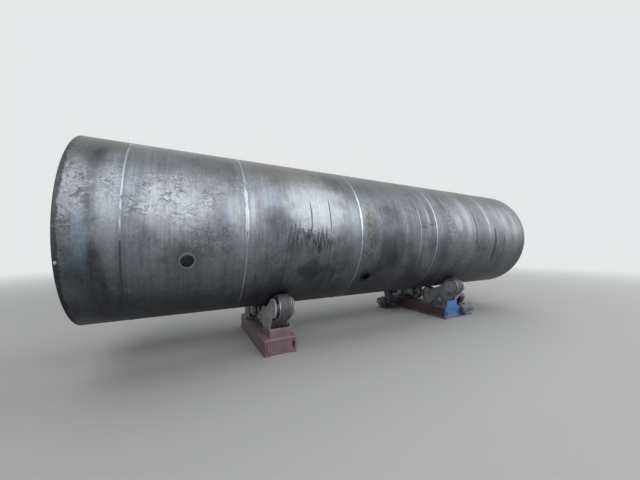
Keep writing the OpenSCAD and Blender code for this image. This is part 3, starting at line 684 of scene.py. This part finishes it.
def finish_piece(name, body, material, replaced=()):
    """Names the active object, applies its place and hands it to its body."""
    piece = bpy.context.object
    if piece.mode != "OBJECT":
        bpy.ops.object.mode_set(mode="OBJECT")
    apply_place()
    bpy.ops.object.shade_smooth_by_angle(angle=math.radians(35))
    piece.name = name
    piece.data.name = name
    piece.data.materials.clear()
    piece.data.materials.append(material)
    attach(piece, body)
    if replaced:
        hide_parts(*replaced)


def place_copy(model, move):
    """Adds a copy of a model, moved by a matrix, to the selected objects."""
    copy = model.copy()
    copy.data = model.data.copy()
    copy.data.transform(move)
    bpy.context.collection.objects.link(copy)
    copy.select_set(True)
    bpy.context.view_layer.objects.active = copy


def drop_model(model):
    bpy.data.objects.remove(model, do_unlink=True)


def join_copies(model, name, places, material):
    """Copies a model to places on the rolls, with its top along a direction, and joins the copies."""
    start_clean()
    for origin, facing in places:
        turn = Vector(facing).to_track_quat("Z", "X").to_matrix().to_4x4()
        place_copy(model, Matrix.Translation(origin) @ turn)
    bpy.ops.object.join()
    finish_piece(name, "turning_rolls", material)


def place_at_both_ends(model, name, material):
    """Copies a model of the front drive to the front and, turned half round, to the back."""
    for side, turn in (("front", 0), ("back", math.pi)):
        start_clean()
        place_copy(model, Matrix.Translation((UNIT_X["drive"], 0, 0)) @ Matrix.Rotation(turn, 4, "Z"))
        finish_piece("%s_%s" % (name, side), "turning_rolls", material)
    drop_model(model)


def model_bolt(across, head):
    """A hexagon head with its corners turned off, on a washer, standing along +Z at the origin."""
    start_clean()
    washer = across * 0.14
    bpy.ops.mesh.primitive_cylinder_add(
        vertices=6, radius=across / math.sqrt(3), depth=head, location=(0, 0, washer + head / 2))
    bpy.ops.object.mode_set(mode="EDIT")
    select_where(lambda edge: all(v.co.z > head / 2 - 1e-5 for v in edge.verts), "edges")
    bpy.ops.mesh.bevel(offset=across * 0.09, segments=1)
    bpy.ops.mesh.primitive_cylinder_add(
        vertices=20, radius=across * 0.66, depth=washer, location=(0, 0, washer / 2))
    bpy.ops.object.mode_set(mode="OBJECT")
    apply_place()
    return bpy.context.object


# Softboxes light every matt surface and strips only shine in metal and gloss, so the strips can be
# as long as a workshop's windows and the floor below the shell still stays in its shadow
LAMPS = (
    ("top_softbox", "matt", (1.5, 0, 9.0), (1.5, 0, 0), 26, 9, 750),
    ("front_softbox", "matt", (0, -10.0, 9.0), (0, 0, 1.0), 26, 5, 900),
    ("front_fill", "matt", (0, -11.0, 3.2), (0, 0, 0.8), 24, 3, 120),
    ("back_softbox", "matt", (0, 10.0, 9.0), (0, 0, 1.0), 26, 5, 260),
    ("low_strip", "gloss", (8, -11.0, 5.6), (8, 0, 1.9), 60, 3.8, 1250),
    ("middle_strip", "gloss", (8, -9.2, 9.3), (8, 0, 1.9), 60, 4.0, 1900),
    ("high_strip", "gloss", (8, -4.8, 11.6), (8, 0, 1.9), 60, 4.0, 1250),
    ("back_strip", "gloss", (8, 9.6, 8.6), (8, 0, 1.9), 60, 6.0, 1700),
)


def add_camera(settings):
    """The camera that took the photograph, fitted to the shell's outlines."""
    bpy.ops.object.camera_add(location=settings.camera_place)
    camera = bpy.context.object
    camera.name = "photo_camera"
    camera.rotation_euler = Vector(settings.camera_aim).to_track_quat("-Z", "Y").to_euler()
    camera.data.lens = settings.camera_lens
    camera.data.sensor_width = 36
    camera.data.clip_end = 400
    bpy.context.scene.camera = camera


def add_floor(settings):
    """Plain matt floor that goes over into the backdrop."""
    bpy.ops.mesh.primitive_plane_add(size=240, location=(0, 0, -0.002))
    floor = bpy.context.object
    floor.name = "floor"
    material, tree, place = new_material("plain floor")
    lit = put(tree, "BsdfPrincipled", {"Base Color": settings.floor_colour, "Roughness": 0.9})
    # Far out, where the lamps end, the floor goes over into the backdrop's tone
    far = put(tree, "VectorMath", [place], operation="LENGTH")
    far = put(tree, "MapRange", [far.outputs["Value"], 5.5, 22.0], interpolation_type="SMOOTHSTEP")
    plain = put(tree, "Emission", [settings.sky_colour, 1.0])
    put(tree, "OutputMaterial", [put(tree, "MixShader", [far, lit, plain])])
    floor.data.materials.append(material)


def add_backdrop(settings):
    """Plain pale surroundings. The camera, metal and glass see them, and everything else gets a softer
    light from them."""
    world = bpy.data.worlds.new("studio")
    world.use_nodes = True
    bpy.context.scene.world = world
    tree = world.node_tree
    tree.nodes.clear()
    rays = put(tree, "LightPath").outputs
    shown = rays["Is Camera Ray"]
    for ray in ("Is Glossy Ray", "Is Transmission Ray"):
        shown = put(tree, "Math", [shown, rays[ray]], operation="MAXIMUM")
    seen = put(tree, "Background", [settings.sky_colour, 1.0])
    light = put(tree, "Background", [(0.92, 0.96, 1.0, 1.0), 0.10])
    put(tree, "OutputWorld", [put(tree, "MixShader", [shown, light, seen])])


def add_lamps():
    """The softboxes and strips of LAMPS. No camera ray sees them."""
    for name, kind, place, aim, width, depth, power in LAMPS:
        bpy.ops.object.light_add(type="AREA", location=place)
        lamp = bpy.context.object
        lamp.name = name
        lamp.data.shape = "RECTANGLE"
        lamp.data.size = width
        lamp.data.size_y = depth
        lamp.data.energy = power
        lamp.visible_camera = False
        lamp.visible_glossy = kind == "gloss"
        lamp.visible_diffuse = kind == "matt"
        direction = Vector(aim) - Vector(place)
        lamp.rotation_euler = direction.to_track_quat("-Z", "Y").to_euler()


class VESSEL_OT_stage(bpy.types.Operator):
    """Make the camera, the lamps, the backdrop and the floor"""

    bl_idname = "vessel.stage"
    bl_label = "Stage"

    def execute(self, context):
        settings = context.scene.vessel_stage
        start_clean()
        add_camera(settings)
        add_floor(settings)
        add_backdrop(settings)
        add_lamps()
        context.scene.view_settings.view_transform = "Standard"
        return {"FINISHED"}


class VESSEL_OT_shell(bpy.types.Operator):
    """Give the rolled courses and the necks their finish"""

    bl_idname = "vessel.shell"
    bl_label = "Shell"

    def execute(self, context):
        for number, name in enumerate(COURSES, start=1):
            dress([name], rolled_plate(number, context.scene.vessel_shell))
        dress(["nozzle_neck_1"], neck_steel("turned forged steel", "#5e6066", "#8f929a"))
        # The second neck is dark all over
        dress(["nozzle_neck_2"], neck_steel("oxidised forged steel", "#232427", "#3d3f42"))
        return {"FINISHED"}


def off_axis(point):
    """How far a point lies from the shell's axis."""
    return math.hypot(point.co.y, point.co.z - AXIS_HEIGHT)


def on_crest(point, step_angle):
    """Whether a point of a girth bead lies on the crest of a ripple."""
    return round(math.atan2(point.co.y, point.co.z - AXIS_HEIGHT) / step_angle) % 2 == 0


class VESSEL_OT_welds(bpy.types.Operator):
    """Lay the rippled girth welds, outside and inside"""

    bl_idname = "vessel.welds"
    bl_label = "Girth welds"

    def execute(self, context):
        settings = context.scene.vessel_shell
        # One eighth of the ring is spun, and then doubled three times
        eighth = math.pi / 4
        steps = 2 * round(eighth * SHELL_RADIUS / settings.ripple)
        axis = (0, 0, AXIS_HEIGHT)
        bead_half = 0.0078
        outer = SHELL_RADIUS + 0.0008
        start_clean()
        for radius, rise in ((outer, 0.00145), (BORE_RADIUS, 0.0014)):
            bead_place = (0, 0, AXIS_HEIGHT + radius)
            bpy.ops.mesh.primitive_circle_add(
                vertices=8, radius=bead_half, fill_type="NGON", location=bead_place,
                rotation=(math.radians(90), 0, 0))
            if bpy.context.object.mode == "OBJECT":
                open_mesh()
            bpy.ops.transform.resize(value=(1, 1, rise / bead_half), center_override=bead_place)
        bpy.ops.mesh.select_all(action="SELECT")
        bpy.ops.mesh.spin(steps=steps, angle=eighth, center=axis, axis=(1, 0, 0))
        select_where(lambda face: len(face.verts) > 4, "faces")
        bpy.ops.mesh.delete(type="ONLY_FACE")
        # Every other step is the crest of a ripple, wider and, outside, a little higher
        step_angle = eighth / steps
        select_where(lambda v: on_crest(v, step_angle))
        bpy.ops.transform.resize(value=(1.06, 1, 1), center_override=axis)
        select_where(lambda v: on_crest(v, step_angle) and off_axis(v) > outer + 0.0005)
        bpy.ops.transform.resize(value=(1, 1.0004, 1.0004), center_override=axis)
        for turn in (math.pi / 4, math.pi / 2, math.pi):
            bpy.ops.mesh.select_all(action="SELECT")
            bpy.ops.mesh.duplicate()
            bpy.ops.transform.rotate(value=turn, orient_axis="X", center_override=axis)
        bpy.ops.mesh.select_all(action="SELECT")
        bpy.ops.mesh.remove_doubles(threshold=0.0001)
        close_mesh()
        ring = bpy.context.object
        for number, seam in enumerate(SEAMS, start=1):
            start_clean()
            place_copy(ring, Matrix.Translation((seam, 0, 0)))
            finish_piece("girth_bead_%d" % number, "shell", weld_metal(number, settings),
                         ["girth_weld_%d" % number])
        drop_model(ring)
        return {"FINISHED"}


def model_straight_bead(length, ripple):
    """A rippled weld bead along X, standing along +Z at the origin."""
    ripples = round(length / ripple)
    step = length / (2 * ripples)
    start_clean()
    bpy.ops.mesh.primitive_grid_add(x_subdivisions=2 * ripples, y_subdivisions=4, size=1)
    open_mesh()
    bpy.ops.transform.resize(value=(length, 0.016, 1), center_override=(0, 0, 0))
    # Two steps up from the bead's edges to its middle line
    for half, rise in ((0.006, 0.0012), (0.002, 0.0006)):
        select_where(lambda v: abs(v.co.y) < half)
        bpy.ops.transform.translate(value=(0, 0, rise))
    select_where(lambda v: round((v.co.x + length / 2) / step) % 2 == 0)
    bpy.ops.transform.resize(value=(1, 1.08, 0.6), center_override=(0, 0, 0))
    bpy.ops.mesh.select_all(action="SELECT")
    bpy.ops.mesh.extrude_region_move(TRANSFORM_OT_translate={"value": (0, 0, -0.003)})
    close_mesh()
    return bpy.context.object


class VESSEL_OT_long_seams(bpy.types.Operator):
    """Lay the long seam of each course, outside and inside"""

    bl_idname = "vessel.long_seams"
    bl_label = "Long seams"

    def execute(self, context):
        settings = context.scene.vessel_shell
        # Number 0 is no girth weld's, so these beads keep their slag all along
        material = weld_metal(0, settings)
        along = Vector((1, 0, 0))
        for number, course in enumerate(COURSES, start=1):
            low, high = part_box(course)
            # Each end stops 15 mm short of the course's edge, where the girth weld lies
            model = model_straight_bead(high.x - low.x - 0.03, settings.ripple)
            turn = math.radians(LONG_SEAMS[number])
            outward = Vector((0, -math.cos(turn), math.sin(turn)))
            across = outward.cross(along)
            centre = Vector(((low.x + high.x) / 2, 0, AXIS_HEIGHT))
            start_clean()
            for radius, way in ((SHELL_RADIUS + 0.0003, 1), (BORE_RADIUS - 0.0003, -1)):
                axes = Matrix((along, across * way, outward * way)).transposed().to_4x4()
                place_copy(model, Matrix.Translation(centre + outward * radius) @ axes)
            bpy.ops.object.join()
            finish_piece("long_bead_%d" % number, "shell", material)
            drop_model(model)
        return {"FINISHED"}


def both(name):
    """The front and the back node of a name."""
    return [name + "_front", name + "_back"]


class VESSEL_OT_rolls(bpy.types.Operator):
    """Give the turning rolls their finish"""

    bl_idname = "vessel.rolls"
    bl_label = "Turning rolls"

    def execute(self, context):
        settings = context.scene.vessel_rolls
        maroon, dark, blue = settings.idler_paint, settings.drive_paint, settings.front_paint
        casting, grime = settings.casting, settings.grime
        dress(["idler_frame"], dusty_paint(
            "maroon machine enamel", maroon, linear("#857378"), chips=0.5,
            rim=(FRAME_TOP - 0.010, FRAME_TOP)))
        dress(both("idler_yoke"), dusty_paint(
            "rubbed maroon enamel", maroon, linear("#8d8486"), second=casting, region=ear_region,
            rim=(FRAME_TOP, YOKE_BASE_TOP)))
        # The aprons between the bogies' side plates get a darker maroon: paint, darkened further as painted
        # shade below the rollers
        dress(both("idler_bogie"), dusty_paint(
            "dusty cast steel", casting, grime, rough=0.6, second=linear("#57454c"), region=apron_region))
        dress(["drive_frame"], dusty_paint(
            "dark maroon and blue enamel", dark, linear("#5f5254"), chips=0.5, second=blue,
            region=end_region, splash=linear("#8b949c")))
        dress(both("drive_yoke"), dusty_paint(
            "grey and blue enamel", linear("#66686d"), grime, second=blue, region=end_region))
        dress(both("drive_bogie"), dusty_paint(
            "dark cast steel", linear("#82848a"), grime, rough=0.6, dust_share=0.6))
        for name, finish, paint, dust, chips in (
            ("gear_case", "pale grey gear case enamel", "#d4d6d4", "#b4b3b0", 0.2),
            ("reducer", "dark violet reducer enamel", "#3f3446", "#7d7488", 0.25),
            ("motor", "grey-blue motor enamel", "#6b7387", "#8d8f98", 0.25),
        ):
            dress(both(name), dusty_paint(finish, linear(paint), linear(dust), rough=0.4, chips=chips))
        pins = bare_steel("oiled pin steel", "#74767c", "#b4b6ba", 0.42, metallic=0.5)
        dress(["idler_pins", "drive_pins"], pins)
        # Turning marks run round the wheels
        wheels = bare_steel("turned wheel steel", "#6c6d70", "#b4b5b7", 0.38, (90.0, 3.0, 3.0))
        dress([name for name in nodes if "_wheel_" in name], wheels)
        dress([name for name in nodes if "_tyre_" in name], tyre_rubber())
        return {"FINISHED"}


def ring_of(unit, along, pin, circle):
    """Places of a circle of bolts round a pin, on a face at a distance along the shell."""
    radius, count, start = circle
    places = []
    for i in range(count):
        angle = start + 2 * math.pi * i / count
        away = Vector((0, radius * math.cos(angle), radius * math.sin(angle)))
        face = Vector((UNIT_X[unit] + along, pin.y, pin.z))
        places.append((face + away, (math.copysign(1, along), 0, 0)))
    return places


def bolt_places(unit):
    """Where foot, keeper and cover bolts of a unit stand, and which way each of them faces."""
    feet, keepers, covers = [], [], []
    for side, sign in SIDES.items():
        for along in (-FOOT_BOLT_ALONG, FOOT_BOLT_ALONG):
            for out in FOOT_BOLTS_OUT:
                feet.append((Vector((UNIT_X[unit] + along, sign * out, YOKE_BASE_TOP)), (0, 0, 1)))
        pins = {name: middle("%s_wheel_%s_%s" % (unit, side, name)) for name in ("outer", "inner")}
        pins["pivot"] = Vector((0, sign * PIVOT_OUT, PIVOT_HEIGHT))
        for name, pin in pins.items():
            for way in (-1, 1):
                # On a drive unit the gear case covers one end of the pivot and of the outer axle
                if unit == "drive" and name != "inner" and way != sign:
                    continue
                end = way * PIN_END[name]
                if unit == "drive" and name == "outer":
                    # A bearing cover with a smaller lid on it
                    covers += ring_of(unit, end, pin, BEARING_COVER)
                    keepers += ring_of(unit, end + way * 0.010, pin, BEARING_LID)
                else:
                    keepers += ring_of(unit, end, pin, KEEPER_DISC)
        if unit == "drive":
            covers += ring_of(unit, -sign * GEAR_CASE_FACE, pins["outer"], OUTPUT_COVER)
            covers += ring_of(unit, -sign * GEAR_CASE_FACE, pins["pivot"], PIVOT_COVER)
    return feet, keepers, covers


class VESSEL_OT_fasteners(bpy.types.Operator):
    """Set the hexagon bolts of yokes, keeper discs, bearing covers and gear cases"""

    bl_idname = "vessel.fasteners"
    bl_label = "Fasteners"

    def execute(self, context):
        settings = context.scene.vessel_rolls
        steel = zinc_plate("zinc plated bolts")
        foot_bolt = model_bolt(0.030, 0.015)
        keeper_bolt = model_bolt(0.013, 0.007)
        cover_bolt = model_bolt(0.024, 0.011)
        for unit, paint, slot in (
            ("idler", settings.idler_paint, "maroon_paint"),
            ("drive", settings.drive_paint, "dark_maroon_paint"),
        ):
            feet, keepers, covers = bolt_places(unit)
            painted = dusty_paint("painted bolts of the %s" % unit, paint, settings.grime, chips=0.6)
            join_copies(foot_bolt, unit + "_foot_bolts", feet, painted)
            join_copies(keeper_bolt, unit + "_keeper_bolts", keepers, steel)
            if covers:
                join_copies(cover_bolt, unit + "_cover_bolts", covers, steel)
        for model in (foot_bolt, keeper_bolt, cover_bolt):
            drop_model(model)
        return {"FINISHED"}


def fan_shade():
    """Painted shade of the steel fan behind its grille: nearly black, with its blades painted a little
    lighter.
    """
    material, tree, place = new_material("fan in shadow")
    axes = put(tree, "SeparateXYZ", [place]).outputs
    out = put(tree, "Math", [axes["Y"]], operation="ABSOLUTE")
    out = put(tree, "Math", [out, MOTOR_OUT], operation="SUBTRACT")
    rise = put(tree, "Math", [axes["Z"], MOTOR_HEIGHT], operation="SUBTRACT")
    turn = put(tree, "Math", [rise, out], operation="ARCTAN2")
    # Seven blades
    blade = put(tree, "Math", [turn, 7.0], operation="MULTIPLY")
    blade = put(tree, "Math", [blade], operation="SINE")
    blade = put(tree, "MapRange", [blade, 0.2, 0.9])
    colour = put(tree, "Mix", [blade, linear("#0d0e10"), linear("#35383d")], data_type="RGBA")
    surface = put(tree, "BsdfPrincipled", {"Base Color": colour, "Roughness": 0.55})
    put(tree, "OutputMaterial", [surface])
    return material


def sunk_disc(centre, radius, vertices, height, rim, depth):
    """A disc that faces along +X, with a raised rim round its sunk face."""
    start_clean()
    bpy.ops.mesh.primitive_circle_add(
        vertices=vertices, radius=radius, fill_type="NGON", location=centre, rotation=FACING_X)
    open_mesh()
    bpy.ops.mesh.extrude_region_move(TRANSFORM_OT_translate={"value": (height, 0, 0)})
    bpy.ops.mesh.inset(thickness=rim)
    bpy.ops.mesh.extrude_region_move(TRANSFORM_OT_translate={"value": (-depth, 0, 0)})
    close_mesh()
    return bpy.context.object


def model_fan_grille(centre):
    """Four round wires and a hub plate on six spokes, facing along +X."""
    start_clean()
    for radius in (0.078, 0.063, 0.048, 0.033):
        bpy.ops.mesh.primitive_torus_add(
            major_segments=48, minor_segments=6, major_radius=radius, minor_radius=0.0015,
            location=centre, rotation=FACING_X)
        if bpy.context.object.mode == "OBJECT":
            open_mesh()
    bpy.ops.mesh.primitive_cylinder_add(
        vertices=24, radius=0.018, depth=0.004, location=centre, rotation=FACING_X)
    for turn in range(15, 375, 60):
        angle = math.radians(turn)
        away = Vector((0, math.cos(angle), math.sin(angle)))
        bpy.ops.mesh.primitive_cylinder_add(
            vertices=6, radius=0.0017, depth=0.068, location=centre + away * 0.050,
            rotation=(angle - math.radians(90), 0, 0))
    bpy.ops.object.mode_set(mode="OBJECT")
    return bpy.context.object


def model_terminal_lid():
    """Lid of the terminal box, a little wider than the box, with rounded edges."""
    start_clean()
    centre = ((LID_START + LID_END) / 2, -MOTOR_OUT, LID_HEIGHT - 0.002)
    bpy.ops.mesh.primitive_cube_add(size=1, location=centre)
    bpy.context.object.scale = (LID_END - LID_START + 0.006, 0.111, 0.010)
    open_mesh()
    bpy.ops.mesh.bevel(offset=0.003, segments=3)
    bpy.ops.object.mode_set(mode="OBJECT")
    return bpy.context.object


def model_lifting_eye(foot):
    """A collar with a ring standing on it, as on the motor's flange."""
    start_clean()
    bpy.ops.mesh.primitive_cylinder_add(
        vertices=24, radius=0.013, depth=0.008, location=foot + Vector((0, 0, 0.002)))
    open_mesh()
    bpy.ops.mesh.primitive_torus_add(
        major_segments=32, minor_segments=10, major_radius=0.014, minor_radius=0.004,
        location=foot + Vector((0, 0, 0.021)), rotation=FACING_X)
    bpy.ops.object.mode_set(mode="OBJECT")
    return bpy.context.object


def screw_places():
    """Where the small screws of the front drive's lid, fan cover and belt guard stand."""
    places = []
    for along in (LID_START + 0.010, LID_END - 0.010):
        for out in (-0.044, 0.044):
            places.append((Vector((along, out - MOTOR_OUT, LID_HEIGHT + 0.003)), (0, 0, 1)))
    fan_cover = Vector((MOTOR_END - 0.018, -MOTOR_OUT, MOTOR_HEIGHT))
    for turn in (35, 145, 215, 325):
        away = Vector((0, math.cos(math.radians(turn)), math.sin(math.radians(turn))))
        places.append((fan_cover + away * 0.101, away))
    for out, height, radius, start, step, count in (
        (PIVOT_OUT, PIVOT_HEIGHT, 0.078, -0.5, (math.pi + 1.0) / 4, 5),
        (SHAFT_OUT, SHAFT_HEIGHT, 0.047, 2.2, 1.6, 3),
    ):
        for i in range(count):
            away = Vector((0, math.cos(start + i * step), math.sin(start + i * step)))
            places.append((Vector((REDUCER_FACE, -out, height)) + away * radius, (1, 0, 0)))
    return places


def plug_places():
    """Where the front drive's cable plugs, breather and drain plug stand."""
    places = []
    for along in (LID_START + 0.045, LID_END - 0.045):
        places.append((Vector((along, -MOTOR_OUT - 0.0525, LID_HEIGHT - 0.020)), (0, -1, 0)))
    places.append((Vector((REDUCER_FACE - 0.070, -PIVOT_OUT, 0.490)), (0, 0, 1)))
    places.append((Vector((REDUCER_FACE, -SHAFT_OUT, 0.150)), (1, 0, 0)))
    return places


class VESSEL_OT_drives(bpy.types.Operator):
    """Fit fan grilles, lids, plugs and lifting eyes to the motors, and sights and plugs to the reducers"""

    bl_idname = "vessel.drives"
    bl_label = "Motors and reducers"

    def execute(self, context):
        steel = zinc_plate("zinc plated fittings")
        paint, dust = linear("#717a8e"), linear("#9a9ca4")
        enamel = dusty_paint("grey-blue lid enamel", paint, dust, rough=0.4, chips=0.2)
        fan = Vector((MOTOR_END, -MOTOR_OUT, MOTOR_HEIGHT))
        opening = sunk_disc(fan, 0.090, 48, 0.006, 0.007, 0.0045)
        place_at_both_ends(opening, "fan_opening", fan_shade())
        grille = model_fan_grille(fan + Vector((0.0055, 0, 0)))
        place_at_both_ends(grille, "fan_grille", steel)
        place_at_both_ends(model_terminal_lid(), "terminal_lid", enamel)
        eye = model_lifting_eye(Vector((MOTOR_START + 0.014, -MOTOR_OUT, MOTOR_HEIGHT + 0.105)))
        place_at_both_ends(eye, "lifting_eye", steel)
        sight = sunk_disc(Vector((REDUCER_FACE, -0.585, 0.262)), 0.020, 32, 0.008, 0.005, 0.005)
        place_at_both_ends(sight, "oil_sight", steel)

        # Screws and plugs of the front drive, and again on the back drive, turned half round
        for model, places, name in (
            (model_bolt(0.010, 0.005), screw_places(), "drive_screws"),
            (model_bolt(0.024, 0.012), plug_places(), "drive_plugs"),
        ):
            turned = []
            for origin, facing in places:
                for way in (1, -1):
                    place = Vector((UNIT_X["drive"] + way * origin.x, way * origin.y, origin.z))
                    turned.append((place, (way * facing[0], way * facing[1], facing[2])))
            join_copies(model, name, turned, steel)
            drop_model(model)
        return {"FINISHED"}


class VESSEL_PT_panel(bpy.types.Panel):
    """Lists the vessel's operators"""

    bl_idname = "VESSEL_PT_panel"
    bl_label = "Vessel shell"
    bl_space_type = "VIEW_3D"
    bl_region_type = "UI"
    bl_category = "Vessel"

    def draw(self, context):
        for operator in STEPS:
            self.layout.operator(operator.bl_idname)


STEPS = (
    VESSEL_OT_stage, VESSEL_OT_shell, VESSEL_OT_welds, VESSEL_OT_long_seams, VESSEL_OT_rolls,
    VESSEL_OT_fasteners, VESSEL_OT_drives,
)
GROUPS = (StageSettings, ShellSettings, RollsSettings)


def register():
    for item in GROUPS + STEPS + (VESSEL_PT_panel,):
        bpy.utils.register_class(item)
    bpy.types.Scene.vessel_stage = bpy.props.PointerProperty(type=StageSettings)
    bpy.types.Scene.vessel_shell = bpy.props.PointerProperty(type=ShellSettings)
    bpy.types.Scene.vessel_rolls = bpy.props.PointerProperty(type=RollsSettings)


def unregister():
    del bpy.types.Scene.vessel_rolls
    del bpy.types.Scene.vessel_shell
    del bpy.types.Scene.vessel_stage
    for item in reversed(GROUPS + STEPS + (VESSEL_PT_panel,)):
        bpy.utils.unregister_class(item)


def main():
    register()
    bpy.ops.vessel.stage()
    bpy.ops.vessel.shell()
    bpy.ops.vessel.welds()
    bpy.ops.vessel.long_seams()
    bpy.ops.vessel.rolls()
    bpy.ops.vessel.fasteners()
    bpy.ops.vessel.drives()


if __name__ == "__main__":
    main()
